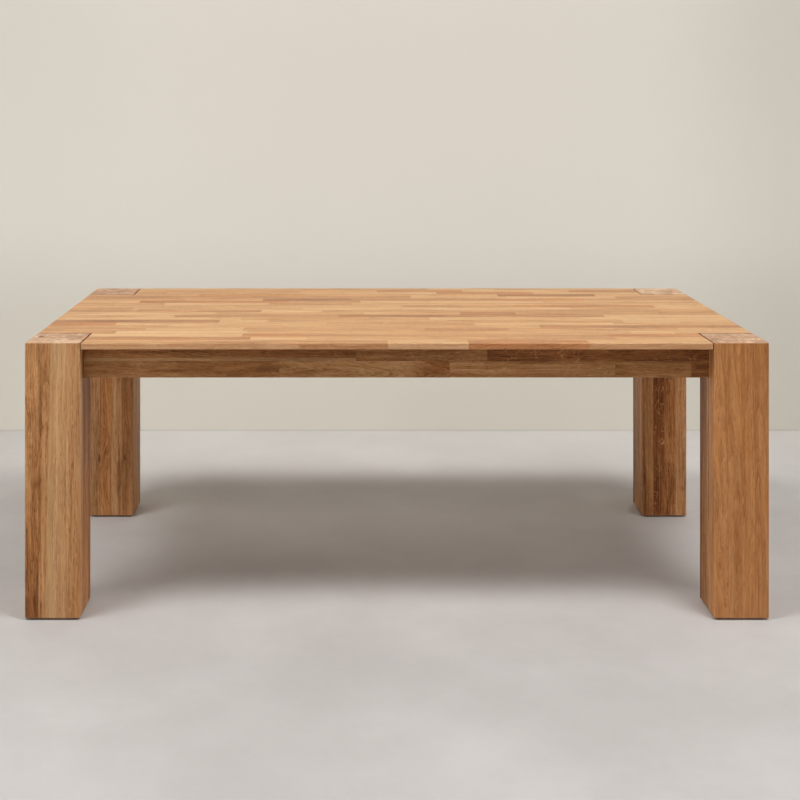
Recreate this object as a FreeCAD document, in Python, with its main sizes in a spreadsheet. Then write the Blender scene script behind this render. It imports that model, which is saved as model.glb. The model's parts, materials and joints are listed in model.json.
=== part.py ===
"""Parsons dining table in solid oak, as a parametric document.

Lengths are millimetres.  The table stands on Z = 0 with its origin under the
middle of the top.  X runs along the table, Y runs across it from front to
rear, and +Z is up.

A thin top of edge-glued staves rests on four aprons.  Its corners are notched
around four thick legs, which run up to the surface and show their end grain.
Inside each corner a brace lies across a flat on the leg, and two hanger bolts
pull the leg against it.  Buttons hooked into the aprons hold the top down,
and two cross rails keep it flat.
"""
import FreeCAD, Part

import os
import re

import Sketcher
from FreeCAD import Placement, Rotation, Vector

SIZES = {
    # Whole table
    "table_length": 2000,
    "table_width": 1000,
    "table_height": 745,
    # Top panel
    "top_thickness": 18,
    "top_arris": 2.5,
    "notch_gap": 3,
    # Legs
    "leg_width": 148,
    "leg_depth": 144,
    "leg_arris": 3.5,
    "leg_end_arris": 1.5,
    "foot_chamfer": 4,
    "seat_cut": 20,
    # Foot pads
    "pad_thickness": 3.5,
    "pad_inset": 9,
    "pad_corner": 8,
    # Aprons
    "apron_height": 86,
    "apron_thickness": 26,
    "apron_setback": 50,
    "apron_arris": 2,
    # Corner braces
    "brace_thickness": 30,
    "brace_margin": 8,
    # Cross rails
    "rail_width": 60,
    "rail_height": 40,
    "rail_spacing": 660,
    "rail_arris": 2,
    "rail_screw_inset": 140,
    # Buttons
    "button_width": 30,
    "button_length": 42,
    "button_thickness": 18,
    "button_inset": 60,
    "button_standoff": 1,
    "tongue_length": 8,
    "tongue_thickness": 8,
    "mortise_clearance": 1,
    "mortise_side_room": 2,
    # Dowels
    "dowel_diameter": 10,
    "dowel_length": 60,
    "dowel_edge": 15,
    "end_room": 1,
    "rail_dowel_diameter": 8,
    "rail_dowel_length": 40,
    "rail_dowel_edge": 14,
    # Hanger bolts, washers and nuts
    "bolt_diameter": 8,
    "bolt_bite": 50,
    "bolt_point": 6,
    "bolt_edge": 13,
    "bolt_overrun": 4,
    "washer_diameter": 16,
    "washer_thickness": 1.6,
    "nut_width": 13,
    "nut_height": 6.5,
    # Wood screws
    "screw_diameter": 4.5,
    "screw_point": 5,
    "screw_head_diameter": 9,
    "screw_head_height": 3,
    "screw_slot_width": 1.2,
    "screw_slot_depth": 1.6,
    "screw_edge": 15,
    "brace_screw_toe": 14,
    "brace_screw_grip": 16,
    "rail_screw_grip": 18,
    # Fits
    "blind_wall": 6,
    "drill_clearance": 0.2,
    "head_clearance": 1,
}

# Heights
UNDER_TOP = "(table_height - top_thickness)"
APRON_FOOT = f"({UNDER_TOP} - apron_height)"
APRON_MIDDLE = f"({UNDER_TOP} - apron_height / 2)"
BRACE_HEIGHT = "(apron_height - 2 * brace_margin)"
LEG_HEIGHT = "(table_height - pad_thickness)"

# Spans between the legs and between the aprons
LONG_SPAN = "(table_length - 2 * leg_width)"
SHORT_SPAN = "(table_width - 2 * leg_depth)"
APRON_INNER = "(apron_setback + apron_thickness)"
RAIL_SPAN = f"(table_width - 2 * {APRON_INNER})"

# Diagonal of a corner: distances in from the end and from the side add up to
# these sums along the leg's flat and along the brace's inner face
SEAT_SUM = "(leg_width + leg_depth - seat_cut)"
BRACE_SUM = f"({SEAT_SUM} + brace_thickness * sqrt(2))"
BRACE_HEEL = f"({SEAT_SUM} - {APRON_INNER})"
BRACE_TOE = f"({BRACE_SUM} - {APRON_INNER})"
SEAT_FROM_END = "(leg_width - seat_cut / 2)"
SEAT_FROM_SIDE = "(leg_depth - seat_cut / 2)"

# Spacings
DOWEL_OFFSET = "(apron_height / 2 - dowel_edge)"
RAIL_DOWEL_OFFSET = "(rail_width / 2 - rail_dowel_edge)"
BOLT_OFFSET = f"({BRACE_HEIGHT} / 2 - bolt_edge)"
SCREW_OFFSET = f"({BRACE_HEIGHT} / 2 - screw_edge)"
BUTTON_FROM_END = f"({BRACE_TOE} + button_inset)"
LONG_BUTTON_OFFSET = f"(table_length / 2 - {BUTTON_FROM_END})"
SHORT_BUTTON_OFFSET = f"(table_width / 2 - {BUTTON_FROM_END})"
TONGUE_DROP = "(button_thickness - tongue_thickness)"
BUTTON_SCREW_LINE = "((button_length + button_standoff) / 2)"
RAIL_SCREW_COUNT = 4
RAIL_SCREW_OFFSETS = [
    f"(({index} / {RAIL_SCREW_COUNT - 1} - 0.5) * ({RAIL_SPAN} - 2 * rail_screw_inset))"
    for index in range(RAIL_SCREW_COUNT)
]

# Holes
DOWEL_BORE = "((dowel_diameter + drill_clearance) / 2)"
DOWEL_DEPTH = "(dowel_length / 2 + end_room)"
RAIL_DOWEL_BORE = "((rail_dowel_diameter + drill_clearance) / 2)"
RAIL_DOWEL_BITE = "(apron_thickness - blind_wall - end_room)"
RAIL_DOWEL_DEPTH = f"(rail_dowel_length - {RAIL_DOWEL_BITE} + end_room)"
BOLT_BORE = "((bolt_diameter + drill_clearance) / 2)"
BOLT_LENGTH = "(bolt_bite + brace_thickness + washer_thickness + nut_height + bolt_overrun)"
APRON_LINE = "(apron_setback + apron_thickness / 2)"
BRACE_SCREW_LINE = f"({BRACE_HEEL} + brace_screw_toe)"
BRACE_SCREW_SEAT = f"({APRON_INNER} + brace_screw_grip)"
SCREW_BORE = "((screw_diameter + drill_clearance) / 2)"
HEAD_BORE = "((screw_head_diameter + head_clearance) / 2)"
TOP_BITE = "(top_thickness - blind_wall)"
APRON_BITE = "(apron_thickness - blind_wall)"

BOTH_WAYS = (-1, 1)

# For each axis, the origin plane across it and the way that plane's normal points
PLANES = {"x": ("YZ_Plane", 1), "y": ("XZ_Plane", -1), "z": ("XY_Plane", 1)}

document = FreeCAD.newDocument("ParsonsTable")
sheet = document.addObject("Spreadsheet::Sheet", "Sizes")
nodes = []


def fill_sheet():
    """Write each size into the sheet under its own alias."""
    for row, (alias, size) in enumerate(SIZES.items(), start=1):
        sheet.set(f"A{row}", str(size))
        sheet.setAlias(f"A{row}", alias)
    document.recompute()


def bound(formula):
    """Return the formula with each size word read from the sheet."""
    def from_sheet(word):
        return f"Sizes.{word.group()}" if word.group() in SIZES else word.group()
    return re.sub(r"[a-z_]+", from_sheet, formula)


def value(formula):
    """Return the number that a formula gives with the sheet's present sizes."""
    return float(sheet.evalExpression(formula))


def bind(feature, **formulas):
    """Tie a feature's properties to formulas of sizes."""
    for name, formula in formulas.items():
        feature.setExpression(name, bound(formula))


def bind_point(feature, holder, point):
    """Tie the position held by a placement property to three formulas."""
    for axis, formula in zip("xyz", point):
        feature.setExpression(f"{holder}.Base.{axis}", bound(formula))


def start_body(name, position, turn=0):
    """Add a body for one wooden piece, turned about Z and put in its place."""
    body = document.addObject("PartDesign::Body", name)
    body.Label = name
    body.Placement = Placement(Vector(), Rotation(Vector(0, 0, 1), turn))
    bind_point(body, "Placement", position)
    nodes.append(body)
    return body


def start_sketch(body, name, axis, start="0"):
    """Add a sketch on one of the body's origin planes, moved along its axis."""
    role, normal = PLANES[axis]
    plane = next(plane for plane in body.Origin.OriginFeatures if plane.Role == role)
    sketch = body.newObject("Sketcher::SketchObject", name)
    sketch.AttachmentSupport = [(plane, "")]
    sketch.MapMode = "FlatFace"
    sketch.setExpression("AttachmentOffset.Base.z", bound(f"{normal} * {start}"))
    return sketch


def fix_point(sketch, geometry, vertex, point):
    """Tie a point of the sketch to its two coordinates from the origin."""
    for direction, formula in zip(("DistanceX", "DistanceY"), point):
        distance = Sketcher.Constraint(direction, -1, 1, geometry, vertex, value(formula))
        index = sketch.addConstraint(distance)
        sketch.setExpression(f"Constraints[{index}]", bound(formula))


def draw_polygon(sketch, corners):
    """Draw a closed outline of straight edges through the corners."""
    points = [Vector(value(x), value(y), 0) for x, y in corners]
    edges = [
        sketch.addGeometry(Part.LineSegment(start, end), False)
        for start, end in zip(points, points[1:] + points[:1])
    ]
    for edge, previous, corner in zip(edges, edges[-1:] + edges[:-1], corners):
        sketch.addConstraint(Sketcher.Constraint("Coincident", previous, 2, edge, 1))
        fix_point(sketch, edge, 1, corner)


def draw_rectangle(sketch, left, bottom, right, top):
    """Draw an upright rectangle between two opposite corners."""
    draw_polygon(sketch, [(left, bottom), (right, bottom), (right, top), (left, top)])


def draw_circle(sketch, centre, radius):
    """Draw a circle whose centre and radius follow the sheet."""
    middle = Vector(value(centre[0]), value(centre[1]), 0)
    circle = Part.Circle(middle, Vector(0, 0, 1), value(radius))
    geometry = sketch.addGeometry(circle, False)
    fix_point(sketch, geometry, 3, centre)
    index = sketch.addConstraint(Sketcher.Constraint("Radius", geometry, value(radius)))
    sketch.setExpression(f"Constraints[{index}]", bound(radius))


def pad(body, sketch, length):
    """Raise the sketch along its normal."""
    feature = body.newObject("PartDesign::Pad", f"{sketch.Name}_Pad")
    feature.Profile = sketch
    bind(feature, Length=length)
    document.recompute()


def pocket(body, sketch, depth, with_normal):
    """Cut the sketch into the body, with or against the sketch's normal."""
    before = body.Shape.Volume
    feature = body.newObject("PartDesign::Pocket", f"{sketch.Name}_Pocket")
    feature.Profile = sketch
    feature.Reversed = with_normal
    bind(feature, Length=depth)
    document.recompute()
    if body.Shape.Volume >= before:
        raise ValueError(f"{feature.Name} cuts nothing")


def bore(body, name, axis, way, start, centres, radius, depth):
    """Bore round holes along an axis, one way from a start plane.

    Each centre gives the other two coordinates, in X, Y, Z order.
    """
    sketch = start_sketch(body, name, axis, start)
    for centre in centres:
        draw_circle(sketch, centre, radius)
    normal = PLANES[axis][1]
    pocket(body, sketch, depth, with_normal=way == normal)


def bore_aslant(body, name, point, direction, radius, depth):
    """Bore one round hole from a point along any direction."""
    before = body.Shape.Volume
    plane = next(plane for plane in body.Origin.OriginFeatures if plane.Role == "XY_Plane")
    hole = body.newObject("PartDesign::SubtractiveCylinder", name)
    hole.AttachmentSupport = [(plane, "")]
    hole.MapMode = "FlatFace"
    hole.AttachmentOffset = Placement(Vector(), Rotation(Vector(0, 0, 1), direction))
    bind_point(hole, "AttachmentOffset", point)
    bind(hole, Radius=radius, Height=depth)
    document.recompute()
    if body.Shape.Volume >= before:
        raise ValueError(f"{name} bores nothing")


def dress_edges(body, kind, name, chosen, **size):
    """Round or chamfer the edges of the body's last feature that are chosen."""
    base = body.Tip
    names = [
        f"Edge{number}"
        for number, edge in enumerate(base.Shape.Edges, start=1)
        if chosen(edge)
    ]
    if not names:
        raise ValueError(f"{name} finds no edge")
    dressing = body.newObject(f"PartDesign::{kind}", name)
    dressing.Base = (base, names)
    bind(dressing, **size)
    document.recompute()


def lies_at(edge, axis, formula):
    """Say whether the whole edge lies at this height along X, Y or Z."""
    height = value(formula)
    return all(abs(getattr(vertex.Point, axis) - height) < 0.001 for vertex in edge.Vertexes)


def is_upright(edge):
    """Say whether the edge is a straight vertical one."""
    if not isinstance(edge.Curve, Part.Line):
        return False
    return abs(edge.Curve.Direction.z) > 0.999


class Corner:
    """One corner of the table, with local distances measured inward from it."""

    def __init__(self, name, outward_x, outward_y):
        self.name = name
        self.outward_x = outward_x
        self.outward_y = outward_y

    def inward(self, from_end, from_side):
        """Return local X and Y of a point in from the end and from the side."""
        return (f"({-self.outward_x} * {from_end})", f"({-self.outward_y} * {from_side})")

    def position(self, height):
        """Return the corner's own place in the table, at a height."""
        return (
            f"({self.outward_x} * table_length / 2)",
            f"({self.outward_y} * table_width / 2)",
            height,
        )

    def placed(self, from_end, from_side, height):
        """Return a point of the table in from the end and from the side."""
        return (
            f"({self.outward_x} * (table_length / 2 - {from_end}))",
            f"({self.outward_y} * (table_width / 2 - {from_side}))",
            height,
        )

    def direction(self, inward_x, inward_y):
        """Return a level direction whose parts point inward when positive."""
        return Vector(-self.outward_x * inward_x, -self.outward_y * inward_y, 0)


CORNERS = [
    Corner("front_left", -1, -1),
    Corner("front_right", 1, -1),
    Corner("rear_left", -1, 1),
    Corner("rear_right", 1, 1),
]


def make_tabletop():
    """Make the top panel, notched at its corners around the legs."""
    panel = start_body("tabletop", ("0", "0", UNDER_TOP))
    outline = start_sketch(panel, "TopOutline", "z")
    draw_rectangle(
        outline, "-table_length / 2", "-table_width / 2", "table_length / 2", "table_width / 2"
    )
    pad(panel, outline, "top_thickness")

    notches = start_sketch(panel, "TopNotches", "z")
    for corner in CORNERS:
        outer_x, outer_y = corner.position("0")[:2]
        inner_x, inner_y = corner.placed("(leg_width + notch_gap)", "(leg_depth + notch_gap)", "0")[:2]
        draw_rectangle(notches, outer_x, outer_y, inner_x, inner_y)
    pocket(panel, notches, "top_thickness", with_normal=True)

    dress_edges(
        panel, "Fillet", "TopArris",
        lambda edge: lies_at(edge, "z", "0") or lies_at(edge, "z", "top_thickness"),
        Radius="top_arris",
    )

    pilots = button_screw_centres() + rail_screw_centres()
    bore(panel, "TopPilots", "z", 1, "0", pilots, SCREW_BORE, TOP_BITE)


def make_leg(corner):
    """Make one leg, with a flat and its bores in the corner that faces inward."""
    leg = start_body(f"leg_{corner.name}", corner.position("pad_thickness"))
    foot = start_sketch(leg, f"LegFoot_{corner.name}", "z")
    draw_rectangle(foot, *corner.inward("0", "0"), *corner.inward("leg_width", "leg_depth"))
    pad(leg, foot, LEG_HEIGHT)
    dress_edges(
        leg, "Chamfer", f"LegFootEdge_{corner.name}",
        lambda edge: lies_at(edge, "z", "0"), Size="foot_chamfer",
    )
    dress_edges(leg, "Fillet", f"LegArris_{corner.name}", is_upright, Radius="leg_arris")
    dress_edges(
        leg, "Fillet", f"LegEnd_{corner.name}",
        lambda edge: lies_at(edge, "z", LEG_HEIGHT), Radius="leg_end_arris",
    )

    flat = start_sketch(leg, f"LegFlat_{corner.name}", "z", f"({UNDER_TOP} - pad_thickness)")
    draw_polygon(flat, [
        corner.inward("leg_width", "(leg_depth - seat_cut)"),
        corner.inward("(leg_width - seat_cut)", "leg_depth"),
        corner.inward("leg_width", "leg_depth"),
    ])
    pocket(leg, flat, "apron_height", with_normal=False)

    middle = f"({APRON_MIDDLE} - pad_thickness)"
    inner_x, inner_y = corner.inward("leg_width", "leg_depth")
    line_x, line_y = corner.inward(APRON_LINE, APRON_LINE)
    heights = [f"({middle} + {side} * {DOWEL_OFFSET})" for side in BOTH_WAYS]
    bore(
        leg, f"LongDowelBores_{corner.name}", "x", corner.outward_x, inner_x,
        [(line_y, height) for height in heights], DOWEL_BORE, DOWEL_DEPTH,
    )
    bore(
        leg, f"ShortDowelBores_{corner.name}", "y", corner.outward_y, inner_y,
        [(line_x, height) for height in heights], DOWEL_BORE, DOWEL_DEPTH,
    )
    seat = corner.inward(SEAT_FROM_END, SEAT_FROM_SIDE)
    for side in BOTH_WAYS:
        bore_aslant(
            leg, f"BoltBore_{corner.name}", (*seat, f"({middle} + {side} * {BOLT_OFFSET})"),
            corner.direction(-1, -1), BOLT_BORE, "(bolt_bite + end_room)",
        )


def make_foot_pad(corner):
    """Make the felt pad under one leg."""
    felt = start_body(f"foot_pad_{corner.name}", corner.position("0"))
    outline = start_sketch(felt, f"PadOutline_{corner.name}", "z")
    draw_rectangle(
        outline,
        *corner.inward("pad_inset", "pad_inset"),
        *corner.inward("(leg_width - pad_inset)", "(leg_depth - pad_inset)"),
    )
    pad(felt, outline, "pad_thickness")
    dress_edges(felt, "Fillet", f"PadCorner_{corner.name}", is_upright, Radius="pad_corner")


def make_apron(name, position, turn, span, table_end, button_offsets):
    """Make one apron, lying along its own X with its inner face towards +Y.

    Its own origin is under the middle of its outer face.  The table's corner
    lies at a distance of table_end from its middle.
    """
    apron = start_body(name, position, turn)
    section = start_sketch(apron, f"Section_{name}", "z")
    draw_rectangle(section, f"-{span} / 2", "0", f"{span} / 2", "apron_thickness")
    pad(apron, section, "apron_height")
    dress_edges(
        apron, "Fillet", f"Arris_{name}",
        lambda edge: lies_at(edge, "z", "0")
        and (lies_at(edge, "y", "0") or lies_at(edge, "y", "apron_thickness")),
        Radius="min(apron_arris; apron_thickness / 3)",
    )

    mortises = start_sketch(apron, f"Mortises_{name}", "y", "apron_thickness")
    half_width = "(button_width / 2 + mortise_side_room)"
    ceiling = f"(apron_height - {TONGUE_DROP})"
    for offset in button_offsets:
        draw_rectangle(
            mortises,
            f"({offset} - {half_width})", f"({ceiling} - tongue_thickness - mortise_clearance)",
            f"({offset} + {half_width})", ceiling,
        )
    pocket(apron, mortises, "(tongue_length + mortise_clearance)", with_normal=True)

    screw_x = f"({table_end} - {BRACE_HEEL} - brace_screw_toe)"
    bore(
        apron, f"BracePilots_{name}", "y", -1, "apron_thickness",
        [
            (f"({way} * {screw_x})", f"(apron_height / 2 + {side} * {SCREW_OFFSET})")
            for way in BOTH_WAYS
            for side in BOTH_WAYS
        ],
        SCREW_BORE, APRON_BITE,
    )
    for way in BOTH_WAYS:
        bore(
            apron, f"EndBores_{name}", "x", -way, f"({way} * {span} / 2)",
            [
                ("(apron_thickness / 2)", f"(apron_height / 2 + {side} * {DOWEL_OFFSET})")
                for side in BOTH_WAYS
            ],
            DOWEL_BORE, DOWEL_DEPTH,
        )
    return apron


def bore_for_rails(apron):
    """Bore a long apron's inner face for the dowels of both cross rails."""
    bore(
        apron, f"RailBores_{apron.Name}", "y", -1, "apron_thickness",
        [
            (
                f"({way} * rail_spacing / 2 + {side} * {RAIL_DOWEL_OFFSET})",
                "(apron_height - rail_height / 2)",
            )
            for way in BOTH_WAYS
            for side in BOTH_WAYS
        ],
        RAIL_DOWEL_BORE, f"({RAIL_DOWEL_BITE} + end_room)",
    )


def make_aprons():
    """Make the two long aprons and the two short ones."""
    for name, side, turn in (("front", -1, 0), ("rear", 1, 180)):
        face = f"({side} * (table_width / 2 - apron_setback))"
        apron = make_apron(
            f"apron_{name}", ("0", face, APRON_FOOT), turn, LONG_SPAN, "table_length / 2",
            [f"(-{LONG_BUTTON_OFFSET})", "0", LONG_BUTTON_OFFSET],
        )
        bore_for_rails(apron)
    for name, side, turn in (("left", -1, -90), ("right", 1, 90)):
        face = f"({side} * (table_length / 2 - apron_setback))"
        make_apron(
            f"apron_{name}", (face, "0", APRON_FOOT), turn, SHORT_SPAN, "table_width / 2",
            [f"(-{SHORT_BUTTON_OFFSET})", SHORT_BUTTON_OFFSET],
        )


def make_brace(corner):
    """Make one corner brace, mitred against both aprons and flat on the leg."""
    brace = start_body(
        f"corner_brace_{corner.name}", corner.position(f"({APRON_MIDDLE} - {BRACE_HEIGHT} / 2)")
    )
    outline = start_sketch(brace, f"BraceOutline_{corner.name}", "z")
    draw_polygon(outline, [
        corner.inward(BRACE_HEEL, APRON_INNER),
        corner.inward(BRACE_TOE, APRON_INNER),
        corner.inward(APRON_INNER, BRACE_TOE),
        corner.inward(APRON_INNER, BRACE_HEEL),
    ])
    pad(brace, outline, BRACE_HEIGHT)

    screw_x, screw_y = corner.inward(BRACE_SCREW_LINE, BRACE_SCREW_LINE)
    apron_x, apron_y = corner.inward(APRON_INNER, APRON_INNER)
    head_x, head_y = corner.inward(BRACE_SCREW_SEAT, BRACE_SCREW_SEAT)
    heights = [f"({BRACE_HEIGHT} / 2 + {side} * {SCREW_OFFSET})" for side in BOTH_WAYS]
    over_length = "(brace_thickness * sqrt(2))"
    along_y = [(screw_x, height) for height in heights]
    along_x = [(screw_y, height) for height in heights]
    inward_x, inward_y = -corner.outward_x, -corner.outward_y
    for kind, face_x, face_y, radius in (
        ("Bores", apron_x, apron_y, SCREW_BORE),
        ("Seats", head_x, head_y, HEAD_BORE),
    ):
        bore(
            brace, f"LongScrew{kind}_{corner.name}", "y", inward_y, face_y, along_y,
            radius, over_length,
        )
        bore(
            brace, f"ShortScrew{kind}_{corner.name}", "x", inward_x, face_x, along_x,
            radius, over_length,
        )
    seat = corner.inward(SEAT_FROM_END, SEAT_FROM_SIDE)
    for side in BOTH_WAYS:
        bore_aslant(
            brace, f"BraceBoltBore_{corner.name}",
            (*seat, f"({BRACE_HEIGHT} / 2 + {side} * {BOLT_OFFSET})"),
            corner.direction(1, 1), BOLT_BORE, "(brace_thickness + end_room)",
        )


def make_cross_rail(name, side):
    """Make one cross rail, with screw bores up to the top and dowel bores in its ends."""
    rail = start_body(
        f"cross_rail_{name}", (f"({side} * rail_spacing / 2)", "0", f"({UNDER_TOP} - rail_height)")
    )
    section = start_sketch(rail, f"RailSection_{name}", "z")
    draw_rectangle(
        section, "-rail_width / 2", f"-{RAIL_SPAN} / 2", "rail_width / 2", f"{RAIL_SPAN} / 2"
    )
    pad(rail, section, "rail_height")
    dress_edges(
        rail, "Chamfer", f"RailArris_{name}",
        lambda edge: lies_at(edge, "z", "0")
        and (lies_at(edge, "x", "-rail_width / 2") or lies_at(edge, "x", "rail_width / 2")),
        Size="min(rail_arris; rail_height / 3)",
    )
    centres = [("0", offset) for offset in RAIL_SCREW_OFFSETS]
    bore(rail, f"RailScrewBores_{name}", "z", 1, "0", centres, SCREW_BORE, "rail_height")
    bore(
        rail, f"RailScrewSeats_{name}", "z", 1, "0", centres,
        HEAD_BORE, "(rail_height - rail_screw_grip)",
    )
    dowels = [(f"({turn} * {RAIL_DOWEL_OFFSET})", "(rail_height / 2)") for turn in BOTH_WAYS]
    for way in BOTH_WAYS:
        bore(
            rail, f"RailEndBores_{name}", "y", -way, f"({way} * {RAIL_SPAN} / 2)", dowels,
            RAIL_DOWEL_BORE, RAIL_DOWEL_DEPTH,
        )


class ButtonPlace:
    """Where one top button hooks into its apron."""

    def __init__(self, name, along, apron):
        self.name = name
        self.turn, self.inward, self.face = apron
        self.along = along

    def point(self, distance, height):
        """Return the table point at a distance in from the apron's inner face."""
        x_face, y_face = self.face
        x_way, y_way = self.inward
        if x_way:
            return (f"({x_face} + {x_way} * {distance})", self.along, height)
        return (self.along, f"({y_face} + {y_way} * {distance})", height)


def button_places():
    """Return the places of all top buttons, apron by apron."""
    x_face = f"(table_length / 2 - {APRON_INNER})"
    y_face = f"(table_width / 2 - {APRON_INNER})"
    front = (0, (0, 1), ("0", f"(-{y_face})"))
    rear = (180, (0, -1), ("0", y_face))
    left = (-90, (1, 0), (f"(-{x_face})", "0"))
    right = (90, (-1, 0), (x_face, "0"))
    places = []
    for side, apron in (("front", front), ("rear", rear)):
        places.append(ButtonPlace(f"{side}_left", f"(-{LONG_BUTTON_OFFSET})", apron))
        places.append(ButtonPlace(f"{side}_middle", "0", apron))
        places.append(ButtonPlace(f"{side}_right", LONG_BUTTON_OFFSET, apron))
    for side, apron in (("left", left), ("right", right)):
        places.append(ButtonPlace(f"{side}_front", f"(-{SHORT_BUTTON_OFFSET})", apron))
        places.append(ButtonPlace(f"{side}_rear", SHORT_BUTTON_OFFSET, apron))
    return places


def button_screw_centres():
    """Return X and Y of the screw through each button."""
    return [place.point(BUTTON_SCREW_LINE, "0")[:2] for place in button_places()]


def rail_screw_centres():
    """Return X and Y of the screws through both cross rails."""
    return [
        (f"({side} * rail_spacing / 2)", offset)
        for side in BOTH_WAYS
        for offset in RAIL_SCREW_OFFSETS
    ]


def make_button(place):
    """Make one button: its tongue enters the apron and its back lies on the top."""
    button = start_body(
        f"top_button_{place.name}", place.point("0", f"({UNDER_TOP} - button_thickness)"), place.turn
    )
    side_view = start_sketch(button, f"ButtonSide_{place.name}", "x", "(-button_width / 2)")
    draw_polygon(side_view, [
        ("-tongue_length", "0"),
        ("button_length", "0"),
        ("button_length", "button_thickness"),
        ("button_standoff", "button_thickness"),
        ("button_standoff", "tongue_thickness"),
        ("-tongue_length", "tongue_thickness"),
    ])
    pad(button, side_view, "button_width")
    bore(
        button, f"ButtonScrewBore_{place.name}", "z", 1, "0", [("0", BUTTON_SCREW_LINE)],
        SCREW_BORE, "button_thickness",
    )


def make_cylinder(name, radius, length, start="0"):
    """Make a cylinder along Z from the start height."""
    cylinder = document.addObject("Part::Cylinder", name)
    bind(cylinder, Radius=radius, Height=length)
    bind_point(cylinder, "Placement", ("0", "0", start))
    return cylinder


def make_cone(name, first_radius, second_radius, length, start):
    """Make a cone along Z from the start height."""
    cone = document.addObject("Part::Cone", name)
    bind(cone, Radius1=first_radius, Radius2=second_radius, Height=length)
    bind_point(cone, "Placement", ("0", "0", start))
    return cone


def join(name, pieces):
    """Fuse the pieces into one solid."""
    fuse = document.addObject("Part::MultiFuse", name)
    fuse.Shapes = pieces
    return fuse


def cut(name, base, tool):
    """Cut the tool from the base."""
    difference = document.addObject("Part::Cut", name)
    difference.Base = base
    difference.Tool = tool
    return difference


def screw_pattern(name, length):
    """Make one wood screw, seated at Z = 0 with its point towards +Z.

    A pan head with a crossed recess stands on the -Z side.
    """
    shank = make_cylinder(f"{name}Shank", "screw_diameter / 2", f"({length} - screw_point)")
    point = make_cone(
        f"{name}Point", "screw_diameter / 2", "0", "screw_point", f"({length} - screw_point)"
    )
    head = make_cone(
        f"{name}Head", "screw_head_diameter / 3", "screw_head_diameter / 2",
        "screw_head_height", "-screw_head_height",
    )
    slots = []
    for index, (width, depth) in enumerate((
        ("screw_slot_width", "(screw_head_diameter / 2)"),
        ("(screw_head_diameter / 2)", "screw_slot_width"),
    )):
        slot = document.addObject("Part::Box", f"{name}Slot{index}")
        bind(slot, Length=width, Width=depth, Height="screw_slot_depth")
        bind_point(slot, "Placement", (f"-{width} / 2", f"-{depth} / 2", "-screw_head_height"))
        slots.append(slot)
    solid = join(f"{name}Solid", [shank, point, head])
    return cut(f"{name}Pattern", solid, join(f"{name}Recess", slots))


def repeat(name, pattern, places):
    """Put a copy of the pattern at each place, turned from +Z to its direction."""
    copies = []
    for point, direction in places:
        copy = document.addObject("App::Link", f"{name}_copy")
        copy.LinkedObject = pattern
        copy.LinkTransform = True
        copy.LinkPlacement = Placement(Vector(), Rotation(Vector(0, 0, 1), direction))
        bind_point(copy, "LinkPlacement", point)
        copies.append(copy)
    group = document.addObject("Part::Compound", name)
    group.Label = name
    group.Links = copies
    nodes.append(group)


def make_hanger_bolts():
    """Make the hanger bolts with their washers and nuts, two per corner."""
    threaded = make_cylinder(
        "BoltShank", "bolt_diameter / 2", f"({BOLT_LENGTH} - bolt_point)",
        "(bolt_point - bolt_bite)",
    )
    point = make_cone("BoltPoint", "0", "bolt_diameter / 2", "bolt_point", "-bolt_bite")
    bolt = join("BoltPattern", [threaded, point])

    washer_disc = make_cylinder("WasherDisc", "washer_diameter / 2", "washer_thickness")
    washer_bore = make_cylinder("WasherBore", BOLT_BORE, "washer_thickness")
    washer = cut("WasherPattern", washer_disc, washer_bore)

    hexagon = document.addObject("Part::Prism", "NutHexagon")
    hexagon.Polygon = 6
    bind(hexagon, Circumradius="nut_width / sqrt(3)", Height="nut_height")
    nut = cut("NutPattern", hexagon, make_cylinder("NutBore", BOLT_BORE, "nut_height"))

    for name, pattern, distance in (
        ("hanger_bolts", bolt, "0"),
        ("brace_washers", washer, "brace_thickness"),
        ("brace_nuts", nut, "(brace_thickness + washer_thickness)"),
    ):
        repeat(name, pattern, [
            (
                corner.placed(
                    f"({SEAT_FROM_END} + {distance} / sqrt(2))",
                    f"({SEAT_FROM_SIDE} + {distance} / sqrt(2))",
                    f"({APRON_MIDDLE} + {side} * {BOLT_OFFSET})",
                ),
                corner.direction(1, 1),
            )
            for corner in CORNERS
            for side in BOTH_WAYS
        ])


def make_screws():
    """Make the screws of the braces, the buttons and the cross rails."""
    brace_places = []
    for corner in CORNERS:
        for side in BOTH_WAYS:
            height = f"({APRON_MIDDLE} + {side} * {SCREW_OFFSET})"
            brace_places.append(
                (
                    corner.placed(BRACE_SCREW_LINE, BRACE_SCREW_SEAT, height),
                    corner.direction(0, -1),
                )
            )
            brace_places.append(
                (
                    corner.placed(BRACE_SCREW_SEAT, BRACE_SCREW_LINE, height),
                    corner.direction(-1, 0),
                )
            )
    brace_screw = screw_pattern("BraceScrew", f"(brace_screw_grip + {APRON_BITE} - end_room)")
    repeat("brace_screws", brace_screw, brace_places)

    upward = Vector(0, 0, 1)
    button_screw = screw_pattern("ButtonScrew", f"(button_thickness + {TOP_BITE} - end_room)")
    button_seat = f"({UNDER_TOP} - button_thickness)"
    repeat("button_screws", button_screw, [
        ((x, y, button_seat), upward) for x, y in button_screw_centres()
    ])

    rail_screw = screw_pattern("RailScrew", f"(rail_screw_grip + {TOP_BITE} - end_room)")
    rail_seat = f"({UNDER_TOP} - rail_screw_grip)"
    repeat("rail_screws", rail_screw, [
        ((x, y, rail_seat), upward) for x, y in rail_screw_centres()
    ])


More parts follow.
